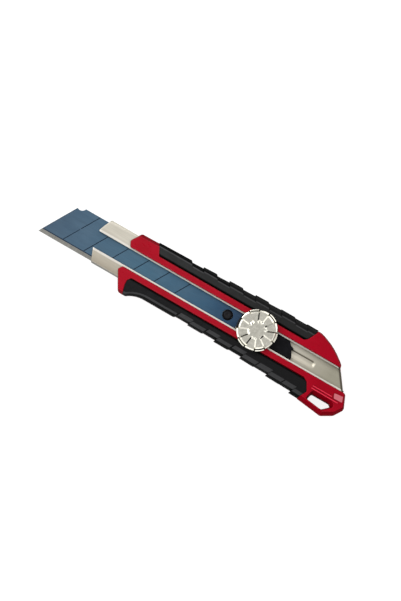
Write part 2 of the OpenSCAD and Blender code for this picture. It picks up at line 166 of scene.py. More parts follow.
class Finish:
    """A node material under construction, with textures in the piece's own coordinates."""

    def __init__(self, name, color, metallic=0.0, roughness=0.5):
        self.material = bpy.data.materials.new(name)
        self.material.use_nodes = True
        self.nodes = self.material.node_tree.nodes
        self.links = self.material.node_tree.links
        self.shader = self.nodes["Principled BSDF"]
        self.shader.inputs["Base Color"].default_value = (*color, 1)
        self.shader.inputs["Metallic"].default_value = metallic
        self.shader.inputs["Roughness"].default_value = roughness
        self.material.diffuse_color = (*color, 1)
        self.place = self.nodes.new("ShaderNodeTexCoord").outputs["Object"]
        self.height = None

    def axes(self, vector):
        """The X, Y and Z sockets of a vector."""
        split = self.nodes.new("ShaderNodeSeparateXYZ")
        self.links.new(vector, split.inputs[0])
        return split.outputs

    def normal(self, kind):
        """How far the surface faces up: Z of its smoothed "Normal" or of its "True Normal"."""
        return self.axes(self.nodes.new("ShaderNodeNewGeometry").outputs[kind])["Z"]

    def scaled(self, scale):
        """Coordinates stretched by scale; a small number makes long streaks along that axis."""
        mapping = self.nodes.new("ShaderNodeMapping")
        mapping.inputs["Scale"].default_value = scale
        self.links.new(self.place, mapping.inputs["Vector"])
        return mapping.outputs[0]

    def noise(self, scale, detail=2.0):
        node = self.nodes.new("ShaderNodeTexNoise")
        node.inputs["Scale"].default_value = 1.0
        node.inputs["Detail"].default_value = detail
        vector = scale if isinstance(scale, tuple) else (scale, scale, scale)
        self.links.new(self.scaled(vector), node.inputs["Vector"])
        return node.outputs["Fac"]

    def cells(self, scale):
        node = self.nodes.new("ShaderNodeTexVoronoi")
        node.inputs["Scale"].default_value = 1.0
        self.links.new(self.scaled((scale, scale, scale)), node.inputs["Vector"])
        return node.outputs["Distance"]

    def spread(self, value, low, high, start=0.3, stop=0.7):
        """Maps value's start..stop to low..high."""
        node = self.nodes.new("ShaderNodeMapRange")
        node.inputs["From Min"].default_value = start
        node.inputs["From Max"].default_value = stop
        node.inputs["To Min"].default_value = low
        node.inputs["To Max"].default_value = high
        self.links.new(value, node.inputs["Value"])
        return node.outputs[0]

    def combine(self, operation, *values):
        """A number worked out from other sockets, such as the product of two masks."""
        node = self.nodes.new("ShaderNodeMath")
        node.operation = operation
        for value, socket in zip(values, node.inputs):
            self.links.new(value, socket)
        return node.outputs[0]

    def ramp(self, value, stops):
        node = self.nodes.new("ShaderNodeValToRGB")
        ramp = node.color_ramp
        while len(ramp.elements) < len(stops):
            ramp.elements.new(0.5)
        for element, (position, color) in zip(ramp.elements, stops):
            element.position = position
            element.color = (*color, 1)
        self.links.new(value, node.inputs[0])
        return node.outputs[0]

    def mix(self, factor, first, second):
        node = self.nodes.new("ShaderNodeMix")
        node.data_type = "RGBA"
        for socket, value in ((node.inputs[0], factor), (node.inputs[6], first), (node.inputs[7], second)):
            if hasattr(value, "is_output"):
                self.links.new(value, socket)
            else:
                socket.default_value = value if isinstance(value, float) else (*value, 1)
        return node.outputs[2]

    def tint(self, value, first, second):
        """Base colour that runs from first to second with value."""
        self.base(self.mix(self.spread(value, 0.0, 1.0), first, second))

    def base(self, color):
        self.links.new(color, self.shader.inputs["Base Color"])

    def rough(self, value, low, high):
        self.links.new(self.spread(value, low, high), self.shader.inputs["Roughness"])

    def bump(self, value, depth_mm, strength=1.0):
        node = self.nodes.new("ShaderNodeBump")
        node.inputs["Distance"].default_value = depth_mm * MM
        node.inputs["Strength"].default_value = strength
        self.links.new(value, node.inputs["Height"])
        if self.height is not None:
            self.links.new(self.height, node.inputs["Normal"])
        self.height = node.outputs[0]
        self.links.new(self.height, self.shader.inputs["Normal"])


def shade(color, factor):
    return tuple(min(1.0, c * factor) for c in color)


def red_plastic(name="red_plastic", low=(0.320, 0.0006, 0.0095), high=(0.370, 0.0012, 0.0135), gloss=0.13):
    """Satin moulding; the side walls are painted a deeper red as painted shade, the tail is a darker red, and
    the rounded edges are rubbed shiny.
    """
    f = Finish(name, low, roughness=0.3)
    up = f.normal("Normal")
    flat = f.spread(up, 0.0, 1.0, 0.45, 0.97)
    mottled = f.mix(f.spread(f.noise(90, 3), 0.0, 1.0), low, high)
    x = f.axes(f.place)["X"]
    # the red runs darker towards the tail
    darker_tail = f.mix(f.spread(x, 0.0, 0.4, 0.030, 0.070), mottled, shade(low, 0.72))
    # side walls take a deeper red than the tops: painted shade
    f.base(f.mix(flat, (0.17, 0.0003, 0.0045), darker_tail))
    f.rough(f.noise((300, 900, 300), 4), 0.24, 0.38)
    f.bump(f.noise(160, 2), 0.05, 0.3)
    f.bump(f.noise(4200, 2), 0.008, 0.5)
    levels = ((0.0, 0.0), (0.62, 0.01), (0.82, 0.22), (0.95, 0.22), (0.99, gloss), (1.0, gloss))
    shine = f.ramp(up, [(z, (level,) * 3) for z, level in levels])
    shine = f.combine("MULTIPLY", shine, f.spread(x, 1.0, 0.4, -0.020, 0.055))
    f.links.new(shine, f.shader.inputs["Specular IOR Level"])
    return f.material


def soft_grip(name, top, side, gloss, far):
    """Matt rubber; the sides are painted darker than the upward faces as painted shade, and all of it is
    darker towards the rear.
    """
    f = Finish(name, top, roughness=0.6)
    flat = f.spread(f.normal("True Normal"), 0.0, 1.0, 0.80, 0.98)
    along = f.spread(f.axes(f.place)["X"], 0.0, 1.0, -0.045, 0.025)
    mottled = f.mix(f.spread(f.noise(260, 4), 0.0, 1.0), shade(top, 0.75), shade(top, 1.25))
    mottled = f.mix(along, mottled, shade(top, far))
    side = f.mix(along, side, shade(side, far))
    # sides painted darker than the tops: painted shade
    f.base(f.mix(flat, side, mottled))
    f.links.new(f.spread(flat, 0.02, gloss, 0.0, 1.0), f.shader.inputs["Specular IOR Level"])
    f.rough(f.noise(700, 3), 0.44, 0.6)
    f.bump(f.cells(2600), 0.04, 0.5)
    f.bump(f.noise(120, 2), 0.06, 0.3)
    return f.material


def blade_steel():
    """Dark blued face with long rolling marks, darker and bluer towards the rear end, where the darkest
    stretch next to the wheel is painted shade and reflection of the wheel.
    """
    f = Finish("blade_steel", (0.060, 0.10, 0.15), metallic=0.9, roughness=0.38)
    along = f.spread(f.axes(f.place)["X"], 0.0, 1.0, -0.130, 0.0)
    # the last stops, next to and under the wheel, are painted shade and reflection of the wheel
    base = f.ramp(along, [(0.0, (0.058, 0.095, 0.143)), (0.2, (0.071, 0.128, 0.190)),
                          (0.5, (0.072, 0.155, 0.225)), (0.82, (0.043, 0.109, 0.184)),
                          (1.0, (0.018, 0.042, 0.096))])
    streaks = f.spread(f.noise((60, 3000, 60), 3), 0.0, 1.0)
    clouds = f.spread(f.noise((70, 140, 70), 3), 0.0, 1.0)
    darker = f.mix(streaks, base, (0.04, 0.072, 0.115))
    mixed = f.mix(0.25, base, darker)
    f.base(f.mix(f.spread(clouds, 0.0, 0.18, 0.0, 1.0), mixed, (0.13, 0.19, 0.24)))
    f.rough(f.noise((80, 2200, 80), 3), 0.32, 0.48)
    f.bump(f.noise((50, 3600, 50), 2), 0.01, 0.5)
    return f.material


def ground_edge():
    """Bright ground bevel with fine grinding lines across the edge."""
    f = Finish("ground_edge", (0.22, 0.21, 0.20), metallic=1.0, roughness=0.34)
    lines = f.noise((5200, 120, 120), 2)
    f.tint(lines, (0.195, 0.195, 0.18), (0.315, 0.305, 0.28))
    f.rough(f.noise((900, 300, 300), 2), 0.28, 0.42)
    f.bump(lines, 0.01, 0.6)
    return f.material


# dark steel for painted shade in the score grooves and along the front edge and the bevel line
def score_painted_shade():
    f = Finish("score_painted_shade", (0.018, 0.036, 0.062), metallic=0.8, roughness=0.55)
    f.tint(f.noise(600, 2), (0.014, 0.028, 0.05), (0.024, 0.046, 0.075))
    return f.material


def plated_steel():
    """Satin nickel with drawing lines along X."""
    color = (0.60, 0.57, 0.49)
    f = Finish("plated_steel", color, metallic=1.0, roughness=0.34)
    streaks = f.noise((40, 2600, 900), 3)
    f.tint(streaks, shade(color, 0.90), shade(color, 1.07))
    f.rough(f.noise((60, 1400, 600), 2), 0.30, 0.44)
    f.bump(streaks, 0.008, 0.5)
    return f.material


def channel_plate():
    """Nickel painted darker along the lower lip as painted shade and reflection and darker over the tail,
    with painted highlights on the edges beside the slot, a dark bend on the cutting side as painted shade,
    painted shade on the groove's spine-side wall and a dark strip along the sawn end."""
    f = Finish("channel_plate", (0.52, 0.49, 0.42), metallic=1.0, roughness=0.36)
    x, y, z = f.axes(f.place)
    streaks = f.noise((40, 2600, 900), 3)
    color = f.mix(f.spread(streaks, 0.0, 1.0), (0.57, 0.535, 0.455), (0.63, 0.595, 0.51))
    # lower lip darker: painted shade and reflection
    color = f.mix(f.spread(y, 1.0, 0.0, -0.0120, 0.002), color, (0.42, 0.375, 0.30))
    # darker over the tail
    color = f.mix(f.spread(x, 0.0, 1.0, 0.034, 0.062), color, (0.37, 0.35, 0.275))
    # bright strips on the lips' edges beside the slot: painted highlight
    beside_slot = f.spread(f.combine("ABSOLUTE", y), 0.8, 0.0, 0.0060, 0.0066)
    on_lip = f.spread(z, 0.0, 1.0, 0.0090, 0.0096)
    color = f.mix(f.combine("MULTIPLY", beside_slot, on_lip), color, (0.80, 0.76, 0.70))
    # dark outer bend on the cutting side: painted shade
    bend = f.spread(y, 1.0, 0.0, -0.0128, -0.0122)
    color = f.mix(bend, color, (0.20, 0.195, 0.18))
    slope = f.nodes.new("ShaderNodeVectorMath")
    slope.operation = "DOT_PRODUCT"
    slope.inputs[1].default_value = (0.81, 0.587, 0)
    f.links.new(f.place, slope.inputs[0])
    end = f.spread(slope.outputs["Value"], 0.0, 1.0, 0.0549, 0.0554)
    color = f.mix(end, color, (0.11, 0.095, 0.075))
    # dark spine-side wall of the floor groove: painted shade
    levels = ((0.0, 0), (0.3, 1), (0.6, 1), (1.0, 0))
    corner = f.ramp(f.spread(y, 0.0, 1.0, 0.0006, 0.0020), [(place, (level,) * 3) for place, level in levels])
    groove = f.combine("MULTIPLY", corner, f.spread(x, 1.0, 0.0, 0.0495, 0.0500))
    f.base(f.mix(groove, color, (0.17, 0.155, 0.12)))
    f.rough(f.noise((60, 1400, 600), 2), 0.32, 0.44)
    f.bump(streaks, 0.008, 0.5)
    return f.material


def turned_metal(name, color, roughness=0.25):
    """Small turned and plated parts."""
    f = Finish(name, color, metallic=1.0, roughness=roughness)
    f.tint(f.noise(900, 3), shade(color, 0.88), shade(color, 1.08))
    f.rough(f.noise(1500, 2), roughness * 0.8, roughness * 1.3)
    f.bump(f.noise(2600, 2), 0.01, 0.4)
    return f.material


def cast_chrome():
    """Satin chrome on a die-cast wheel: a faint cast grain under the plating."""
    color = (0.79, 0.765, 0.67)
    f = Finish("cast_chrome", color, metallic=1.0, roughness=0.15)
    f.tint(f.noise(620, 5), shade(color, 0.88), shade(color, 1.12))
    f.rough(f.noise(800, 3), 0.10, 0.22)
    f.bump(f.noise(1300, 3), 0.02, 0.35)
    return f.material


def black_plastic():
    f = Finish("black_plastic", (0.003, 0.003, 0.0045), roughness=0.5)
    f.tint(f.noise(500, 3), (0.002, 0.002, 0.003), (0.005, 0.005, 0.007))
    f.rough(f.noise(900, 2), 0.42, 0.6)
    f.bump(f.cells(3000), 0.05, 0.6)
    f.shader.inputs["Specular IOR Level"].default_value = 0.08
    return f.material


def dark_steel():
    f = Finish("dark_steel", (0.010, 0.010, 0.012), metallic=0.3, roughness=0.42)
    f.shader.inputs["Specular IOR Level"].default_value = 0.15
    f.tint(f.noise(700, 3), (0.007, 0.007, 0.009), (0.014, 0.0135, 0.015))
    f.rough(f.noise(1100, 2), 0.34, 0.52)
    f.bump(f.noise(2200, 2), 0.012, 0.5)
    return f.material


RED = red_plastic()
# lighter red for the tops of the tail ribs: a painted highlight
RED_PAINTED_HIGHLIGHT = red_plastic("red_plastic_painted_highlight", (0.74, 0.027, 0.062), (0.84, 0.035, 0.075), 0.2)
# pinkish red for the tilted tail facet: a painted reflection of a lamp
RED_PAINTED_REFLECTION = red_plastic("red_plastic_painted_reflection", (0.60, 0.145, 0.175), (0.66, 0.17, 0.20), 0.3)
# each grip's second colour is its sides' painted shade
RUBBER = soft_grip("soft_grip", (0.0135, 0.0140, 0.0140), (0.0025, 0.0028, 0.0028), 0.20, 0.45)
LOW_RUBBER = soft_grip("soft_grip_low", (0.0078, 0.0078, 0.0085), (0.0045, 0.0047, 0.0047), 0.09, 0.70)
# lighter rubber for the grips' crests and facets: a painted sheen
PAINTED_SHEEN_RUBBER = soft_grip("soft_grip_painted_sheen", (0.044, 0.044, 0.046), (0.046, 0.046, 0.048), 0.18, 0.76)
BLADE = blade_steel()
EDGE = ground_edge()
SCORE_PAINTED_SHADE = score_painted_shade()
PLATED = plated_steel()
CHANNEL = channel_plate()
CHROME = cast_chrome()
BLACK = black_plastic()
DARK = dark_steel()
SPRING = turned_metal("spring_steel", (0.50, 0.50, 0.50), 0.28)
BRASS = turned_metal("brass", (0.72, 0.52, 0.23), 0.27)
TURNED = turned_metal("turned_steel", (0.60, 0.59, 0.56), 0.26)

# ---------------------------------------------------------------- mesh tools


class Solid:
    """A mesh under construction, in millimetres."""

    def __init__(self):
        self.points = []
        self.faces = []
        self.slots = []

    def ring(self, points):
        start = len(self.points)
        self.points.extend(Vector(p) for p in points)
        return list(range(start, len(self.points)))

    def face(self, corners, slot=0):
        self.faces.append(tuple(corners))
        self.slots.append(slot)

    def bridge(self, first, second, slot=0):
        count = len(first)
        for i in range(count):
            j = (i + 1) % count
            self.face((first[i], first[j], second[j], second[i]), slot)

    def cap(self, ring, holes=(), slot=0):
        loops = [ring, *holes]
        flat = [k for loop in loops for k in loop]
        for triangle in tessellate_polygon([[self.points[k] for k in loop] for loop in loops]):
            self.face((flat[k] for k in triangle), slot)

    def fan(self, ring, point):
        """Closes a ring with triangles that meet in a point."""
        centre = self.ring([point])[0]
        for k in range(len(ring)):
            self.face((ring[k], ring[(k + 1) % len(ring)], centre))

    def build(self, name, *materials):
        """Makes the Blender object, in metres, with clean normals."""
        mesh = bpy.data.meshes.new(name)
        mesh.from_pydata([p * MM for p in self.points], [], self.faces)
        for material in materials:
            mesh.materials.append(material)
        mesh.polygons.foreach_set("material_index", self.slots)
        work = bmesh.new()
        work.from_mesh(mesh)
        bmesh.ops.remove_doubles(work, verts=work.verts, dist=2e-7)
        bmesh.ops.recalc_face_normals(work, faces=work.faces)
        work.to_mesh(mesh)
        work.free()
        piece = bpy.data.objects.new(name, mesh)
        scene.collection.objects.link(piece)
        return piece


def combine(piece, tool, operation):
    """Exact boolean of two closed pieces; the tool is used up."""
    modifier = piece.modifiers.new("combine", "BOOLEAN")
    modifier.operation = operation
    modifier.solver = "EXACT"
    modifier.object = tool
    graph = bpy.context.evaluated_depsgraph_get()
    mesh = bpy.data.meshes.new_from_object(piece.evaluated_get(graph))
    piece.modifiers.clear()
    old = piece.data
    piece.data = mesh
    mesh.name = old.name
    bpy.data.meshes.remove(old)
    bpy.data.objects.remove(tool)


def join(name, pieces):
    """One object from several closed shells that belong to the same part."""
    work = bmesh.new()
    materials = []
    for piece in pieces:
        start = len(work.faces)
        work.from_mesh(piece.data)
        work.faces.ensure_lookup_table()
        shift = []
        for material in piece.data.materials:
            if material not in materials:
                materials.append(material)
            shift.append(materials.index(material))
        for face in work.faces[start:]:
            face.material_index = shift[face.material_index]
    mesh = bpy.data.meshes.new(name)
    work.to_mesh(mesh)
    work.free()
    for material in materials:
        mesh.materials.append(material)
    for piece in pieces:
        bpy.data.objects.remove(piece)
    joined = bpy.data.objects.new(name, mesh)
    scene.collection.objects.link(joined)
    return joined


def mount(piece, body, nodes, sharp=34):
    """Smooth shading with edges crisp above the angle sharp; then the piece rides on its body and stands for
    its CAD nodes."""
    piece.data.shade_smooth()
    piece.data.set_sharp_from_angle(angle=math.radians(sharp))
    normals = piece.modifiers.new("weighted_normals", "WEIGHTED_NORMAL")
    normals.keep_sharp = True
    normals.weight = 90
    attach(piece, body)
    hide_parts(*nodes)


def corner_arc(before, here, after, radius):
    """Points of the arc that rounds a corner, always the same number of them."""
    steps = 5
    a = before - here
    b = after - here
    half = a.angle(b) / 2
    if half > math.radians(89.5):
        return [here + (a.normalized() * (0.5 - k / steps)) * 0.02 for k in range(steps + 1)]
    reach = min(radius / math.tan(half), 0.45 * a.length, 0.45 * b.length)
    radius = reach * math.tan(half)
    a.normalize()
    b.normalize()
    centre = here + (a + b).normalized() * radius / math.sin(half)
    start = here + a * reach - centre
    stop = here + b * reach - centre
    sweep = math.atan2(start.cross(stop), start.dot(stop))
    return [centre + Matrix.Rotation(sweep * k / steps, 2) @ start for k in range(steps + 1)]


def outline_ring(outline, z, inset=0.0, share=0.0, grow=False):
    """The outline at one height. outline holds [x, y, corner radius, width] anticlockwise, and width is
    the chamfer of the edge that starts at the point. Edges move in by inset + share * width, or out."""
    sign = -1 if grow else 1
    count = len(outline)
    corners = [Vector(p[:2]) for p in outline]
    edges = [corners[(i + 1) % count] - corners[i] for i in range(count)]
    normals = [Vector((-e.y, e.x)).normalized() for e in edges]
    shifts = [sign * (inset + share * p[3]) for p in outline]
    moved = []
    radii = []
    for i in range(count):
        n1, n2 = normals[i - 1], normals[i]
        d1, d2 = shifts[i - 1], shifts[i]
        cross = n1.x * n2.y - n1.y * n2.x
        if abs(cross) < 0.06:
            step = (n1 * d1 + n2 * d2) / 2
        else:
            step = Vector(((d1 * n2.y - d2 * n1.y) / cross, (n1.x * d2 - n2.x * d1) / cross))
        moved.append(corners[i] + step)
        radius = outline[i][2]
        nearest = min(d1, d2, key=abs)
        radii.append(max(0.06, radius - nearest if cross > 0 else radius + nearest) if radius else 0)
    points = []
    for i in range(count):
        if radii[i]:
            points += corner_arc(moved[i - 1], moved[i], moved[(i + 1) % count], radii[i])
        else:
            points.append(moved[i])
    return [(p.x, p.y, z) for p in points]


def stack(solid, outline, levels, holes=()):
    """Closed solid from an outline at several levels (z, inset, share), top first; holes are
    (outline, levels) pairs whose first and last heights are the solid's."""
    def wall(shape, heights, grow):
        rings = [solid.ring(outline_ring(shape, z, inset, share, grow)) for z, inset, share in heights]
        for upper, lower in zip(rings, rings[1:]):
            solid.bridge(upper, lower)
        return rings[0], rings[-1]

    top, bottom = wall(outline, levels, False)
    ends = [wall(hole, heights, True) for hole, heights in holes]
    solid.cap(top, [e[0] for e in ends])
    solid.cap(bottom, [e[1] for e in ends])


def round_over(z, radius, share=0.0):
    """Levels of a rounded top edge that ends at height z, from the top down."""
    steps = 4
    angles = [math.radians(90 * k / steps) for k in range(steps + 1)]
    return [(z - radius * (1 - math.cos(a)), radius * (1 - math.sin(a)), share) for a in angles]


def plain(points, radius=0.0):
    """Outline with one corner radius all round and no chamfer."""
    return [[x, y, radius, 0.0] for x, y in points]


def rectangle(left, low, right, high, radius=0.0):
    """Outline of an upright rectangle between two opposite corners."""
    return plain([(left, low), (right, low), (right, high), (left, high)], radius)


def circle(x, y, radius, count):
    angles = [2 * math.pi * k / count for k in range(count)]
    return [(x + radius * math.cos(a), y + radius * math.sin(a)) for a in angles]


def slab(name, outline, low, high, material):
    """Plain prism between two heights, for booleans."""
    solid = Solid()
    stack(solid, outline, [(high, 0, 0), (low, 0, 0)])
    return solid.build(name, material)


def drum(name, x, y, radius, low, high, material, count=40):
    return slab(name, plain(circle(x, y, radius, count)), low, high, material)


def lathe(name, x, y, profile, material):
    """Turned part round a vertical axis; profile is (radius, z) from the top centre to the bottom centre."""
    solid = Solid()
    rings = []
    for radius, z in profile[1:-1]:
        rings.append(solid.ring((*point, z) for point in circle(x, y, radius, 48)))
    for upper, lower in zip(rings, rings[1:]):
        solid.bridge(upper, lower)
    solid.fan(rings[0], (x, y, profile[0][1]))
    solid.fan(rings[-1], (x, y, profile[-1][1]))
    return solid.build(name, material)


def table(points, value):
    """Straight-line lookup in (position, value) pairs that rise in position."""
    if value <= points[0][0]:
        return points[0][1]
    for (p, a), (q, b) in zip(points, points[1:]):
        if value <= q:
            return a + (b - a) * (value - p) / (q - p)
    return points[-1][1]


def smooth(t):
    t = max(0.0, min(1.0, t))
    return t * t * (3 - 2 * t)


# ---------------------------------------------------------------- levels shared by the pieces

TOP = 13.3                       # rails
PARTING = 3.4                    # where the body meets the back cover
COVER_BACK = 0.6                 # the cover's back face; only the soft pad lies lower
FLOOR = 6.0                      # underside of the channel
FLOOR_TOP = 7.0
LIP = 9.8                        # underside of the lips
LIP_TOP = 10.8
CHANNEL_MIDDLE = 8.4             # between the channel's floor and its lips
TIP_X = -129.7
BLADE_REAR_X = -0.4
HALF_BLADE = 12.5
STUD_X = -7.9
WHEEL_X = 11.9
WHEEL_TOP = 19.0
SCREWS = [(-66, 9.5), (-66, -9.5), (46, 9.5), (46, -9.5), (75, -12)]
LANYARD = [[58, -15.8, 1.3, 0.7], [57, -20.1, 1.2, 0.45], [67.4, -21, 1.4, 0.6],
           [71.4, -17.3, 1.0, 2.2], [69.6, -15.8, 1.0, 2.3]]

# Spine-side outline of the tail, from the channel's end round to the grip: [x, y, corner radius, chamfer]
TAIL_CURVE = [[64.9, 7.5, 1.2, 0.7], [63.8, 8.6, 3, 0.7], [61.8, 10.1, 6, 0.7], [59.7, 11.7, 8, 0.7],
              [56.7, 13.6, 8, 0.7], [53.7, 15.2, 8, 0.7], [50.6, 16.5, 8, 0.7], [47.7, 17.6, 6, 0.6],
              [45.6, 18.15, 3, 0.4]]

# The body's halves on either side of the slot; the grips fill the notches at y = 9.9 and y = -10.3
SPINE_HALF = [[-77.6, 5.75, 0.9, 0], [65.5, 5.75, 0.5, 0.3], *TAIL_CURVE,
              [43.6, 18.2, 0, 0], [42.9, 16, 0, 0], [40.2, 10.8, 0.8, 0], [38.9, 9.9, 0.8, 0.45],
              [-60.0, 9.9, 0.5, 0], [-63.5, 16.4, 0, 1.75], [-75.3, 16.2, 1.9, 0.5],
              [-79.6, 9.4, 1.8, 0.25]]
EDGE_HALF = [[-75.9, -6.3, 1.1, 0.15], [-77.6, -8.9, 1.2, 0.3], [-71.1, -20.2, 1.8, 0.8],
             [-67.7, -20.4, 0, 0], [-69.1, -15, 2, 0], [-69.2, -12.2, 1.6, 0], [-67.8, -10.3, 1.2, 0.4],
             [49.9, -10.1, 1.2, 0], [52.0, -11.3, 3, 0], [54.9, -16.4, 1.2, 0], [53.4, -19.2, 1.5, 0],
             [52.0, -22.3, 0, 2.2], [68.6, -24.35, 2.2, 1.7], [75.4, -20.4, 3.5, 1.2],
             [79.2, -14.4, 2.4, 0.8], [75.6, -6.1, 0.7, 0]]

# ---------------------------------------------------------------- red body and back cover


def main_body():
    edge = round_over(TOP, 0.55, 1.0)
    foot = [(PARTING + 0.2, 0, 0), (PARTING, 0.2, 0)]
    hole = [(TOP, 0.45, 1.0), (TOP - 0.12, 0.18, 1.0), (TOP - 0.45, 0.0, 0.94), (TOP - 3.0, 0.12, 0.04),
            (TOP - 3.6, 0, 0), (PARTING, 0, 0)]
    spine_half = Solid()
    stack(spine_half, SPINE_HALF, edge + [(11.4, 0.12, 0.35), (10.2, 0, 0)] + foot)
    piece = spine_half.build("main_body", RED)
    edge_half = Solid()
    stack(edge_half, EDGE_HALF, edge + [(11.2, 0.12, 0.35), (9.8, 0, 0)] + foot, [(LANYARD, hole)])
    combine(piece, edge_half.build("edge_half", RED), "UNION")

    core = plain([(-76.4, 9), (-74, -9), (-69.8, -17.5), (-63.5, -15.6), (-58, -15), (10, -15.1), (50, -17.2),
                  (56, -14.2), (72, -12), (74, -6.4), (64.5, 6.4), (60, 10), (43, 15), (-74.5, 15)])
    combine(piece, slab("core", core, PARTING + 0.15, 11.3, RED), "UNION")
    pocket = plain([(-90, -13.5), (73.6, -13.5), (73.6, -6.0), (90, -30), (90, 0), (66, 5.9), (61.8, 8),
                    (59.0, 11), (53.3, 14.3), (-90, 14.3)])
    combine(piece, slab("pocket", pocket, FLOOR - 0.02, LIP_TOP + 0.06, RED), "DIFFERENCE")
    gap = rectangle(-90, -6.05, 90, 6.05)
    combine(piece, slab("washer_gap", gap, LIP_TOP, 11.8, RED), "DIFFERENCE")
    return piece


def raised_mark(name, outline, tilt_start, tilt_rise, height, crown):
    """Low relief on the tail: a plateau whose top climbs from tilt_start along X, with its top in the crown
    material, a lighter red painted as a highlight.
    """
    solid = Solid()
    lower = solid.ring(outline_ring(outline, TOP - 0.5))
    rings = [lower]
    for inset, part in ((0.0, 0.0), (0.05, 0.55), (0.12, 0.86), (0.24, 1.0)):
        rings.append(solid.ring((x, y, TOP + part * (height + tilt_rise * (x - tilt_start)))
                                for x, y, z in outline_ring(outline, TOP, inset=inset)))
    for k, (under, over) in enumerate(zip(rings, rings[1:])):
        solid.bridge(under, over, 1 if k == 3 else 0)
    solid.cap(lower)
    solid.cap(rings[-1], slot=1)
    return solid.build(name, RED, crown)


def tail_relief():
    ribs = [plain([(56.2, -12.0), (69.6, -12.0), (69.4, -11.1), (56.4, -11.1)], 0.3),
            plain([(56.2, -13.5), (74.2, -13.7), (74.4, -12.8), (56.2, -12.6)], 0.3)]
    # the ribs' tops take a lighter red: painted highlight
    marks = [raised_mark(f"rib_{k}", shape, 0, 0, 0.5, RED_PAINTED_HIGHLIGHT) for k, shape in enumerate(ribs)]
    facet = plain([(69.3, -9.3), (70.7, -12.1), (76.4, -11.9), (75.2, -8.3), (70.2, -8.8)], 0.5)
    # the facet's top takes a pinkish red: painted reflection
    marks.append(raised_mark("facet", facet, 69.4, -0.118, 0.9, RED_PAINTED_REFLECTION))
    return marks


def back_cover():
    outline = [[-77.8, 4, 0.8, 0.8], [-76.8, -6, 0.8, 0.8], [-77.6, -8.9, 1.2, 0.9], [-71.1, -20.2, 1.8, 1.4],
               [-66.3, -20.3, 0.8, 1.3], [-59.5, -15.9, 3, 1.3], [10, -15.3, 3, 1.3], [51.6, -18.2, 1, 1.6],
               [52.0, -22.2, 0.8, 2.0], [68.6, -24.35, 2.2, 1.7], [75.4, -20.4, 3.5, 1.4],
               [79.2, -14.4, 2.4, 1.0], [75.4, -6.2, 0.5, 0.8], [73.9, -6.2, 0.3, 0.8], [65.3, 6.3, 0.4, 0.8],
               *TAIL_CURVE, [43.4, 15.5, 0.8, 1.3],
               [-63.5, 15.3, 0.8, 1.6], [-75.3, 16.2, 1.9, 1.4], [-79.6, 9.4, 1.8, 0.9]]
    levels = [(PARTING - 0.04, 0.2, 0), (PARTING - 0.24, 0, 0), (2.3, 0.05, 0.05), (1.1, 0.1, 0.75),
              (0.75, 0.2, 1.0), (COVER_BACK, 0.5, 1.0)]
    hole = [(PARTING - 0.04, 0, 0), (1.6, 0, 0), (1.2, 0.1, 0), (0.8, 0.4, 0), (COVER_BACK, 0.8, 0)]
    slot_hole = [[x, y, r, 0] for x, y, r, w in LANYARD]
    solid = Solid()
    stack(solid, outline, levels, [(slot_hole, hole)])
    piece = solid.build("back_cover", RED)
    pad = rectangle(-58.15, -10.15, 38.15, 9.15, 3.1)
    combine(piece, slab("pad_seat", pad, COVER_BACK - 1, 1.4, RED), "DIFFERENCE")
    for k, (x, y) in enumerate(SCREWS):
        combine(piece, drum(f"screw_seat_{k}", x, y, 2.35, COVER_BACK - 1, 1.5, RED), "DIFFERENCE")
    return piece


def body_screws():
    """Pan screws with a cross recess, seen from the back."""
    profile = [(0, 1.55), (2.1, 1.55), (2.1, 1.0), (1.9, 0.8), (1.3, 0.68), (0, 0.65)]
    recess = rectangle(-1.25, -0.26, 1.25, 0.26)
    parts = []
    for k, (x, y) in enumerate(SCREWS):
        head = lathe(f"screw_{k}", x, y, profile, DARK)
        for turn in (20 + 25 * k, 110 + 25 * k):
            c, s = math.cos(math.radians(turn)), math.sin(math.radians(turn))
            bar = plain([(x + c * u - s * v, y + s * u + c * v) for u, v, *rest in recess])
            combine(head, slab("cross", bar, 0, 1.2, DARK), "DIFFERENCE")
        parts.append(head)
    return join("body_screws", parts)


# ---------------------------------------------------------------- soft grips


def loft(solid, sections, paint=None):
    """Skin through closed sections of equal length; paint gives the slot of each face in a stretch."""
    rings = [solid.ring(s) for s in sections]
    count = len(rings[0])
    for k, (first, second) in enumerate(zip(rings, rings[1:])):
        for i in range(count):
            j = (i + 1) % count
            solid.face((first[i], first[j], second[j], second[i]), paint(k, i) if paint else 0)
    solid.cap(rings[0])
    solid.cap(rings[-1])


def ribbed_stations(segments, ramps):
    """(x, part of a step?, *values) along a ribbed grip: each segment's values at both its ends, with short
    ramps between, of one width where the grip narrows and another where it widens."""
    stations = []
    for k, (start, stop, first, last) in enumerate(segments):
        a = start + (ramps[(k + 1) % 2] / 2 if k else 0)
        b = stop - (ramps[k % 2] / 2 if k < len(segments) - 1 else 0)
        count = max(2, round((b - a) / 3))
        for i in range(count + 1):
            t = i / count
            stations.append((a + (b - a) * t, i == count, *(p + (q - p) * t for p, q in zip(first, last))))
    return stations


def notch_line(outline, low_x, high_x, low_y, high_y):
    """(y, x) along the end of a notch in the body, from its rounded outline."""
    ring = outline_ring(outline, 0)
    return sorted((y, x) for x, y, z in ring if low_x < x < high_x and low_y <= y <= high_y)


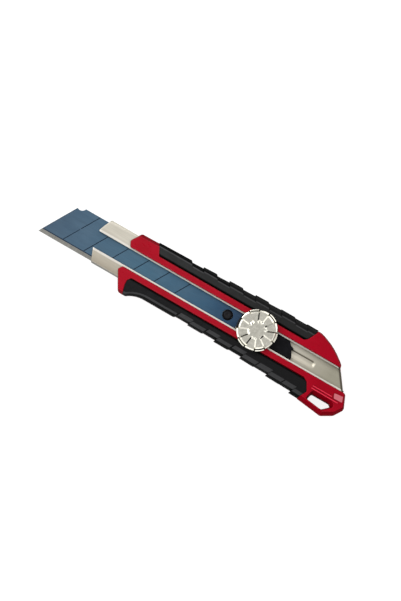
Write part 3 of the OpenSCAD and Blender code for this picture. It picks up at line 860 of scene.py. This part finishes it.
def grip_piece(name, stations, section, front, rear, reach, shear, crest_faces, materials):
    """Soft grip lofted along X. The ends bend into the body's notch, x = f(y), and run a little way under its
    rounded edge. The faces in crest_faces take the second material, a lighter rubber that is a painted sheen,
    except in the steps, which keep the first material so that they stay dark as painted shade."""
    low_x = stations[0][0]
    high_x = stations[-1][0]

    def placed(x, ring, drop=0.0, push=0.0):
        points = []
        to_front = smooth((low_x + reach - x) / reach)
        to_rear = smooth((x - high_x + reach) / reach)
        middle = 1 - max(to_front, to_rear)
        for y, z in ring:
            bent = x + to_front * (table(front, y) - low_x) + to_rear * (table(rear, y) - high_x)
            bent += middle * shear(y)
            points.append((bent + push, y, z - drop * smooth((z - 9.5) / 3.5)))
        return points

    sections = [placed(x, section(*values)) for x, step, *values in stations]
    first = section(*stations[0][2:])
    last = section(*stations[-1][2:])
    ends = [placed(low_x, first, 0.45, -0.3), placed(low_x, first, 0.14, 0.0), placed(low_x, first, 0.0, 0.4)]
    tail = [placed(high_x, last, 0.0, -0.4), placed(high_x, last, 0.14, 0.0), placed(high_x, last, 0.45, 0.3)]
    steps = [False, False, *(step for x, step, *values in stations[:-1]), False, False]

    def paint(k, i):
        return 1 if i in crest_faces and not steps[k] else 0

    solid = Solid()
    loft(solid, ends + sections[1:-1] + tail, paint=paint)
    return solid.build(name, *materials)


def across(inner, outer):
    """The grip's flat top, with enough points to follow the notch's rounded ends."""
    return [(inner + (outer - inner) * k / 5, 13.15) for k in range(6)]


def upper_grip():
    lands = [(-63.4, -41.6, (14.9, 16.95), (15.0, 17.4)), (-41.6, -33.8, (14.2, 16.4), (14.2, 16.6)),
             (-33.8, -24.5, (14.95, 17.45), (14.95, 17.75)), (-24.5, -16.2, (14.3, 16.8), (14.3, 17.05)),
             (-16.2, -6.9, (15.0, 18.0), (15.0, 18.2)), (-6.9, 1.5, (14.4, 17.45), (14.4, 17.65)),
             (1.5, 10.6, (15.1, 18.45), (15.2, 18.6)), (10.6, 19.0, (14.5, 17.95), (14.5, 18.2)),
             (19.0, 28.4, (15.3, 18.62), (15.3, 18.62)), (28.4, 36.6, (14.6, 18.15), (14.6, 18.2)),
             (36.6, 43.8, (15.1, 18.6), (15.0, 18.6))]

    def section(crest, side):
        return [(9.75, 11.35), (9.75, 12.2), (10.0, 12.5), (10.45, 12.88), *across(10.9, crest - 0.55),
                (crest, 13.02), (crest + 0.22, 12.75), (crest + 0.45 * (side - crest), 12.0),
                (side - 0.3, 11.3), (side - 0.06, 10.7), (side, 10.0), (side, 6.2), (side - 0.25, 4.9),
                (15.6, 3.6), (15.15, 3.45), (15.1, 11.35)]

    front = notch_line(SPINE_HALF, -65, -58, 9.9, 16.4)
    rear = notch_line(SPINE_HALF, 38, 44, 9.9, 18.2)
    # faces 9 and 10 carry the painted sheen
    return grip_piece("upper_grip", ribbed_stations(lands, (0.4, 0.4)), section, front, rear, 6,
                      lambda y: -0.65 * (y - 16.8) if y > 14 else 1.8, (9, 10), (RUBBER, PAINTED_SHEEN_RUBBER))


def lower_grip():
    hook = [(-68.9, -18.9, -19.9, -20.45), (-66.6, -18.7, -19.9, -20.5), (-64.7, -17.6, -18.9, -20.3),
            (-63.4, -16.7, -18.0, -19.5), (-62.0, -15.9, -17.2, -18.6), (-60.0, -15.1, -16.3, -17.6),
            (-58.0, -14.7, -15.8, -17.15)]
    lands = [(-56.5, -35.0, (-14.5, -15.6, -16.95), (-14.5, -15.6, -17.0)),
             (-35.0, -25.8, (-13.05, -15.3, -16.2), (-13.05, -15.35, -16.3)),
             (-25.8, -15.8, (-14.1, -16.0, -17.05), (-14.2, -16.1, -17.15)),
             (-15.8, -7.2, (-13.25, -15.3, -16.6), (-13.3, -15.4, -16.7)),
             (-7.2, 2.6, (-14.7, -16.5, -17.8), (-14.8, -16.6, -17.9)),
             (2.6, 11.4, (-13.85, -16.0, -17.4), (-13.9, -16.1, -17.5)),
             (11.4, 21.4, (-15.4, -17.7, -18.75), (-15.5, -17.8, -19.05)),
             (21.4, 30.6, (-15.25, -17.9, -18.75), (-15.3, -18.0, -18.9)),
             (30.6, 40.3, (-16.6, -18.9, -20.1), (-16.7, -19.0, -20.4)),
             (40.3, 48.6, (-16.75, -19.2, -20.3), (-16.9, -19.3, -20.55)),
             (48.6, 54.6, (-18.3, -20.3, -22.0), (-18.6, -20.5, -22.2))]
    stations = [(x, False, *values) for x, *values in hook] + ribbed_stations(lands, (0.8, 0.3))

    def section(crest, low, side):
        return [(-10.1, 11.35), (-10.1, 12.2), (-10.35, 12.5), (-10.8, 12.88), *across(-11.3, crest + 0.5),
                (crest + 0.1, 13.06), (crest, 12.9), (low + 0.1, 11.75), (low, 11.5),
                (side + 0.3, 9.9), (side + 0.05, 8.7), (side, 7.8), (side, 6.0), (side + 0.25, 4.8),
                (side + 1.1, 3.6), (min(-15.3, side + 1.5), 3.45), (-15.2, 11.35)]

    front = notch_line(EDGE_HALF, -70, -66, -20.4, -10.3)
    rear = notch_line(EDGE_HALF, 49, 56, -22.3, -10.1)
    # faces 10 and 11 carry the painted sheen
    return grip_piece("lower_grip", stations, section, front, rear, 7,
                      lambda y: 0.62 * (y + 17.3) if y < -12.5 else 3.0, (10, 11), (LOW_RUBBER, PAINTED_SHEEN_RUBBER))


def back_grip():
    """Soft pad on the back with cross ribs."""
    pad_levels = [(1.4, 0, 0), (0.45, 0, 0), (0.32, 0.05, 0), (0.22, 0.18, 0), (0.2, 0.4, 0)]
    rib_levels = [(0.6, 0, 0), (0.25, 0, 0), (0.1, 0.08, 0), (0.03, 0.25, 0), (0, 0.5, 0)]
    pad = Solid()
    stack(pad, rectangle(-58, -10, 38, 9, 3), pad_levels)
    piece = pad.build("back_grip", RUBBER)
    ribs = []
    for k in range(16):
        x = -55 + k * 6
        rib = Solid()
        stack(rib, rectangle(x - 1.7, -8, x + 1.7, 7, 1), rib_levels)
        ribs.append(rib.build(f"rib_{k}", RUBBER))
    return join("back_grip", [piece, *ribs])


# ---------------------------------------------------------------- blade, channel, slider


def blade():
    """Blade with V-shaped score lines; the grid leans with the lines."""
    lean = math.tan(math.radians(30))
    first = TIP_X + HALF_BLADE * lean
    score_lines = 6
    pitch = 14.0
    half_groove = 0.3
    groove = 0.16
    columns = [(first, 0.0), (first + 0.35, 0.0)]
    for k in range(1, score_lines + 1):
        x = first - 0.35 + pitch * k
        columns += [(x - half_groove, 0.0), (x, groove), (x + half_groove, 0.0)]
    top, bottom = 8.4, 7.7
    rows = [(HALF_BLADE, top - 0.06, bottom + 0.06)]
    rows += [(y, top, bottom) for y in (12.44, 5.2, 1.0, 0.35, -5, -9.6)]
    rows += [(-10.25, top - 0.03, bottom + 0.02), (-12.47, 8.08, 8.02), (-HALF_BLADE, 8.06, 8.04)]
    solid = Solid()
    upper = []
    lower = []
    for c, (x, depth) in enumerate(columns):
        above = []
        below = []
        for y, high, low in rows:
            cut = 0.02 if c == 3 and 0 < y < 1 else (depth if y > -10 else 0.0)
            above.append((x + y * lean, y, high - cut))
            below.append((x + y * lean, y, low))
        upper.append(solid.ring(above))
        lower.append(solid.ring(below))
    upper.append(solid.ring((BLADE_REAR_X, y, high) for y, high, low in rows))
    lower.append(solid.ring((BLADE_REAR_X, y, low) for y, high, low in rows))
    bevel_row = 7
    plate, ground, painted_shade_slot = 0, 1, 2
    cuts = [depth for x, depth in columns] + [0.0]
    for c in range(len(upper) - 1):
        near, far = upper[c], upper[c + 1]
        under_near, under_far = lower[c], lower[c + 1]
        # score grooves, the front edge and the row above the bevel are painted dark: painted shade
        dark = cuts[c] + cuts[c + 1] > 0 or c == 0
        for r in range(len(rows) - 1):
            # the first score line has a short gap near the middle
            unbroken = c in (2, 3) and r == 3
            if r >= bevel_row:
                slot = ground
            else:
                slot = painted_shade_slot if r == bevel_row - 1 or dark and not unbroken else plate
            solid.face((near[r], near[r + 1], far[r + 1], far[r]), slot)
            solid.face((under_near[r], under_near[r + 1], under_far[r + 1], under_far[r]),
                       ground if slot == ground else plate)
        for r in (0, len(rows) - 1):
            solid.face((near[r], far[r], under_far[r], under_near[r]), ground if r else plate)
    for above, below in ((upper[0], lower[0]), (upper[-1], lower[-1])):
        for r in range(len(rows) - 1):
            solid.face((above[r], above[r + 1], below[r + 1], below[r]), ground if r >= bevel_row else plate)
    piece = solid.build("blade", BLADE, EDGE, SCORE_PAINTED_SHADE)
    corner_x = first + HALF_BLADE * lean
    combine(piece, drum("notch", corner_x + 0.75, 13.4, 3.1, 7, 9, BLADE, 56), "DIFFERENCE")
    combine(piece, drum("hole", STUD_X, 0, 3.3, 7, 9, BLADE, 56), "DIFFERENCE")
    return piece


def channel_section():
    """The channel's closed (y, z) profile, anticlockwise, dense where the floor groove runs."""
    half = 13.8
    bend = 1.35
    inner = 0.5
    sheet = FLOOR_TOP - FLOOR

    def arc(y, z, radius, start, stop, steps):
        angles = [math.radians(start + (stop - start) * k / steps) for k in range(steps + 1)]
        return [(y + radius * math.cos(a), z + radius * math.sin(a)) for a in angles]

    floor_ys = [-12, -9, -6, -4, -3.4, -3, -2.6, -2.2, -1.8, -1.4, -1, -0.6, -0.2,
                0.2, 0.6, 0.9, 1.1, 1.3, 1.5, 1.7, 2, 3, 4, 6, 9, 12]
    under = [(y, FLOOR) for y in floor_ys]
    over = [(y, FLOOR_TOP) for y in reversed(floor_ys)]
    right = arc(half - bend, FLOOR + bend, bend, -90, 0, 6) + arc(half - bend, LIP_TOP - bend, bend, 0, 90, 6)
    lip = [(8.5, LIP_TOP), (6.5, LIP_TOP), (5.8, LIP_TOP), (5.3, LIP_TOP), (5.1, LIP_TOP - 0.03),
           (5.0, LIP_TOP - 0.15), (5.0, LIP + 0.15), (5.1, LIP + 0.03), (5.3, LIP), (5.8, LIP), (6.5, LIP),
           (8.5, LIP)]
    inside = (arc(half - sheet - inner, LIP - inner, inner, 90, 0, 4)
              + arc(half - sheet - inner, FLOOR_TOP + inner, inner, 0, -90, 4))
    mirrored = [(-y, z) for y, z in reversed(right + lip + inside)]
    section = under + right + lip + inside + over + mirrored
    return [(y + (0.55 if y > 0 else 0.42) * smooth((abs(y) - 8.5) / 3.5), z) for y, z in section]


def groove_depth(x, y):
    """Pressed groove in the floor: a steep wall on the spine side, a long gentle one on the other, and ends
    that run out over a short way."""
    deepest = 0.5
    run_out = 2.3
    across = (y - 0.5) / 1.1 if y > 0 else (-y - 0.2) / 2.9
    along = max((x - 49.4) / run_out, (-58.4 - x) / run_out)
    return deepest * (1 - smooth(across)) * (1 - smooth(along))


def blade_channel():
    """Channel lofted along X; its stations lie close together where the groove's ends slope."""
    section = channel_section()
    foremost = -98.8

    def front_x(y, z):
        if z > CHANNEL_MIDDLE:
            if y > 0:
                corner = 1.3 * (1 - math.sqrt(max(0.0, 1 - max(0.0, 1 - (y - 5) / 1.3) ** 2)))
                return foremost + 0.41 * (y - 5) + 0.07 * max(0.0, y - 12) + corner
            return -96.6 + 0.42 * (-5 - y)
        return table([(-13.8, -92.8), (-5, -96.6), (5, foremost), (13.8, -95.0)], y)

    def rear_x(y, z):
        if z > CHANNEL_MIDDLE:
            return table([(-13.8, 73.9), (-5.6, 73.9), (-5, 73.6), (5, 66.0), (5.6, 64.5), (7, 60.6),
                          (11, 58), (13.8, 53)], y)
        return table([(-13.8, 73.9), (-5.8, 73.9), (5.4, 65.8), (7.5, 60.6), (11, 58), (13.8, 53)], y)

    inner = [-97.5, -90, -80, -70, -62, -61]
    inner += [-60.8 + 0.35 * k for k in range(8)]
    inner += [-57, -40, -20, 0, 20, 40, 47, 48.8]
    inner += [49.3 + 0.3 * k for k in range(10)]
    inner += [53.2, 56, 60]
    solid = Solid()
    sections = []

    def trimmed(points, amount):
        """Section pulled in towards the sheet's middle, for the rounded end edges."""
        count = len(points)
        out = []
        for i in range(count):
            a = Vector(points[(i - 1) % count])
            b = Vector(points[(i + 1) % count])
            t = (b - a).normalized()
            out.append((points[i][0] - t.y * amount, points[i][1] + t.x * amount))
        return out

    for push, amount in ((0, 0.14), (0.05, 0.05), (0.16, 0)):
        ring = trimmed(section, amount)
        sections.append([(front_x(y, z) + push, y, z) for y, z in ring])
    first_x, last_x = -92.0, 52.0
    for x in inner:
        ring = []
        for y, z in section:
            low, high = front_x(y, z), rear_x(y, z)
            if x < first_x:
                place = low + (first_x - low) * (x - foremost) / (first_x - foremost)
                place = max(place, low + 0.3)
            elif x > last_x:
                place = last_x + (x - last_x) * (high - 0.3 - last_x) / (inner[-1] - last_x)
                place = min(place, x) if high > inner[-1] else place
            else:
                place = x
            drop = groove_depth(place, y) if z < CHANNEL_MIDDLE and abs(y) < 3.3 else 0
            ring.append((place, y, z - drop))
        sections.append(ring)
    for push, amount in ((-0.16, 0), (-0.05, 0.05), (0, 0.14)):
        ring = trimmed(section, amount)
        sections.append([(rear_x(y, z) + push, y, z) for y, z in ring])
    loft(solid, sections)
    return solid.build("blade_channel", CHANNEL)


def slider():
    """Block under the wheel with two wings below the lips; its slanted rear has a small nib by the groove."""
    deck = [[0.3, 4.8, 0.2, 0], [0.3, -4.8, 0.2, 0], [37.7, -4.8, 0.9, 0], [36.7, -2.2, 4, 0],
            [35.1, 0.4, 0.2, 0], [35.9, 1.2, 0.3, 0], [35.7, 2.0, 0.3, 0], [33.9, 2.5, 0.6, 0],
            [31.5, 4.8, 0.6, 0]]
    solid = Solid()
    stack(solid, deck, round_over(11.2, 0.4) + [(7.75, 0, 0)])
    piece = solid.build("slider", BLACK)
    wings = plain([(0.3, 9), (0.3, -9), (25, -9), (25, 9)], 0.4)
    combine(piece, slab("wings", wings, 7.72, 9.72, BLACK), "UNION")
    combine(piece, slab("window", rectangle(3.6, -8.4, 20.2, 8.4), 7, 9.8, BLACK), "DIFFERENCE")
    combine(piece, drum("washer_seat", WHEEL_X, 0, 6.2, 10.6, 12, BLACK), "DIFFERENCE")
    combine(piece, drum("stud_hole", WHEEL_X, 0, 2.7, 7, 12, BLACK), "DIFFERENCE")
    combine(piece, slab("spring_seat", rectangle(21.2, -2.8, 31.4, 2.8), 7, 9.45, BLACK), "DIFFERENCE")
    for k, y in enumerate((6.8, -6.8)):
        combine(piece, drum(f"rivet_hole_{k}", 23.2, y, 1.05, 7, 9.0, BLACK, 24), "DIFFERENCE")
    return piece


def blade_stud():
    """Turned stud with a slightly dished head, on a matt collar that fills the blade's hole."""
    head = [(0, 8.92), (0.5, 8.92), (0.8, 9.0), (1.8, 9.06), (2.1, 9.0), (2.32, 8.86), (2.4, 8.7), (2.4, 8.0),
            (0, 8.0)]
    collar = [(0, 8.55), (2.52, 8.55), (2.6, 8.47), (2.62, 8.1), (3.1, 8.06), (3.24, 7.98), (3.24, 7.68),
              (1.5, 7.66), (1.5, 7.06), (0, 7.06)]
    return join("blade_stud", [lathe("stud_head", STUD_X, 0, head, DARK),
                               lathe("stud_collar", STUD_X, 0, collar, BLACK)])


# ---------------------------------------------------------------- lock wheel


def lock_wheel():
    """Die-cast wheel: six spokes flush with the hub disc, six pockets with sloping walls between them, and a
    base ring behind a valley that is painted dark on some spokes as painted shade and dark reflection."""
    spokes = 6
    spacing = 360 / spokes
    first_angle = 37
    half_angle = 15.3
    first_pocket = math.radians(first_angle)
    half_pocket = math.radians(half_angle)
    wall = 0.85                      # width of a pocket's sloping side wall
    hub = 4.6                        # radius inside which the walls keep their angle
    rim = 11.25
    chamber_top = 17.9
    # For each spoke whose valley is painted dark as shade and dark reflection, the radii between which it is
    # dark
    painted_dark_valleys = {0: (11.2, 11.9), 1: (11.3, 11.7), 2: (11.2, 12.6), 3: (11.4, 11.7), 4: (11.1, 11.9)}

    def spoke_height(r):
        return table([(0, 0), (10.3, 0), (10.95, -0.25), (11.15, -0.5), (11.35, -1.2), (11.65, -1.3),
                      (11.85, -1.2), (12.35, -1.335), (12.45, -1.5), (12.5, -2.1)], r)

    def pocket_height(r):
        return table([(0, 0), (4.6, 0), (5.75, -0.62), (11.2, -0.67), (11.6, -0.78), (12.05, -0.90),
                      (12.2, -1.1), (12.25, -2.0)], r)

    radii = [1.5, 3.2, 4.6, 5.0, 5.4, 5.75, 6.6, 7.6, 8.7, 9.8, 10.3, 10.95, 11.15, 11.35, 11.5, 11.65, 11.85,
             12.05, 12.35, 12.45, 12.5]
    solid = Solid()
    rings = []
    for r in radii:
        points = []
        for k in range(spokes):
            centre = first_pocket + k * 2 * math.pi / spokes
            angles = [centre + math.radians(a) for a in (-30, -24, -8, 0, 8, 24)]
            for side in (-1, 1):
                wall_middle = centre + side * half_pocket
                angles += [wall_middle + e * wall / max(r, hub) for e in (-0.5, -0.25, 0, 0.25, 0.5)]
            for angle in sorted(angles):
                inside = (half_pocket - abs(angle - centre)) * max(r, hub) / wall
                blend = max(0.0, min(1.0, 0.5 + inside))
                notch = 4 * blend * (1 - blend) * smooth((r - 10.4) / 0.6)
                # the rim lies further in at the pockets and at the notches beside them
                reach = r if r <= rim else rim + (r - rim) * (1 - 0.2 * blend - 0.2 * notch)
                height = spoke_height(r) * (1 - blend) + pocket_height(reach) * blend - 0.8 * notch
                place = (WHEEL_X + reach * math.cos(angle), reach * math.sin(angle))
                points.append((*place, WHEEL_TOP + height))
        rings.append(solid.ring(points))
    solid.fan(rings[0], (WHEEL_X, 0, WHEEL_TOP))
    count = len(rings[0])
    for a, b, low, high in zip(rings, rings[1:], radii, radii[1:]):
        for i in range(count):
            j = (i + 1) % count
            middle = (solid.points[a[i]] + solid.points[a[j]]) / 2
            turn = math.degrees(math.atan2(middle.y, middle.x - WHEEL_X)) - first_angle
            spoke, past = divmod(turn % 360, spacing)
            start, stop = painted_dark_valleys.get(spoke, (99, 99))
            in_valley = 16 < past < 44 and start < (low + high) / 2 < stop
            beside_notch = abs(min(past, spacing - past) - half_angle) < 1.4 and low > 11.2
            painted_shade_pocket = spoke == 2 and past < 15 and low > 11.5
            # valleys, the rim beside each notch and half of one pocket's rim take the dark material: painted
            # shade and dark reflection
            dark = in_valley or beside_notch or painted_shade_pocket
            solid.face((a[i], a[j], b[j], b[i]), 1 if dark else 0)
    last = rings[-1]

    def outward(k, radius=None, pull=0.0, z=0.0):
        """The rim point k moved to a radius, or pulled in from where it is."""
        p = solid.points[k]
        radial = Vector((p.x - WHEEL_X, p.y, 0))
        radial *= radius / radial.length if radius else 1 - pull / radial.length
        return (WHEEL_X + radial.x, radial.y, z)

    levels = [(None, 0.0, 14.0), (None, 0.12, 13.72), (None, 0.4, 13.6), (5.6, 0, 13.6), (5.6, 0, 12.45),
              (5.45, 0, 12.3), (4.02, 0, 12.3), (4.02, 0, chamber_top)]
    for radius, pull, z in levels:
        lower = solid.ring([outward(k, radius, pull, z) for k in rings[-1]])
        solid.bridge(last, lower)
        last = lower
    solid.fan(last, (WHEEL_X, 0, chamber_top))
    return solid.build("lock_wheel", CHROME, DARK)


# ---------------------------------------------------------------- assembly

body = join("main_body", [main_body(), *tail_relief()])
mount(body, "handle", ["main_body"])
mount(back_cover(), "handle", ["back_cover"])
mount(body_screws(), "handle", ["body_screws"])
mount(upper_grip(), "handle", ["upper_grip"], sharp=30)
mount(lower_grip(), "handle", ["lower_grip"], sharp=30)
mount(back_grip(), "handle", ["back_grip"], sharp=40)
mount(blade_channel(), "handle", ["blade_channel"], sharp=40)
mount(blade(), "slider", ["blade"], sharp=5)
mount(slider(), "slider", ["slider"])
mount(blade_stud(), "slider", ["blade_stud"])
mount(lock_wheel(), "wheel", ["lock_wheel"], sharp=28)

# Finishes of the pieces that are drawn as they are in the CAD
CAD_FINISH = {"channel_rivets": PLATED, "blade_carrier": PLATED, "carrier_rivets": TURNED,
              "drag_spring": SPRING, "clamp_plate": PLATED, "lock_stud": TURNED, "stud_clip": SPRING,
              "wheel_insert": BRASS, "lip_washer": TURNED, "spring_washer": SPRING}
for node, material in CAD_FINISH.items():
    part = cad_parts[node]
    part.data.materials.clear()
    part.data.materials.append(material)
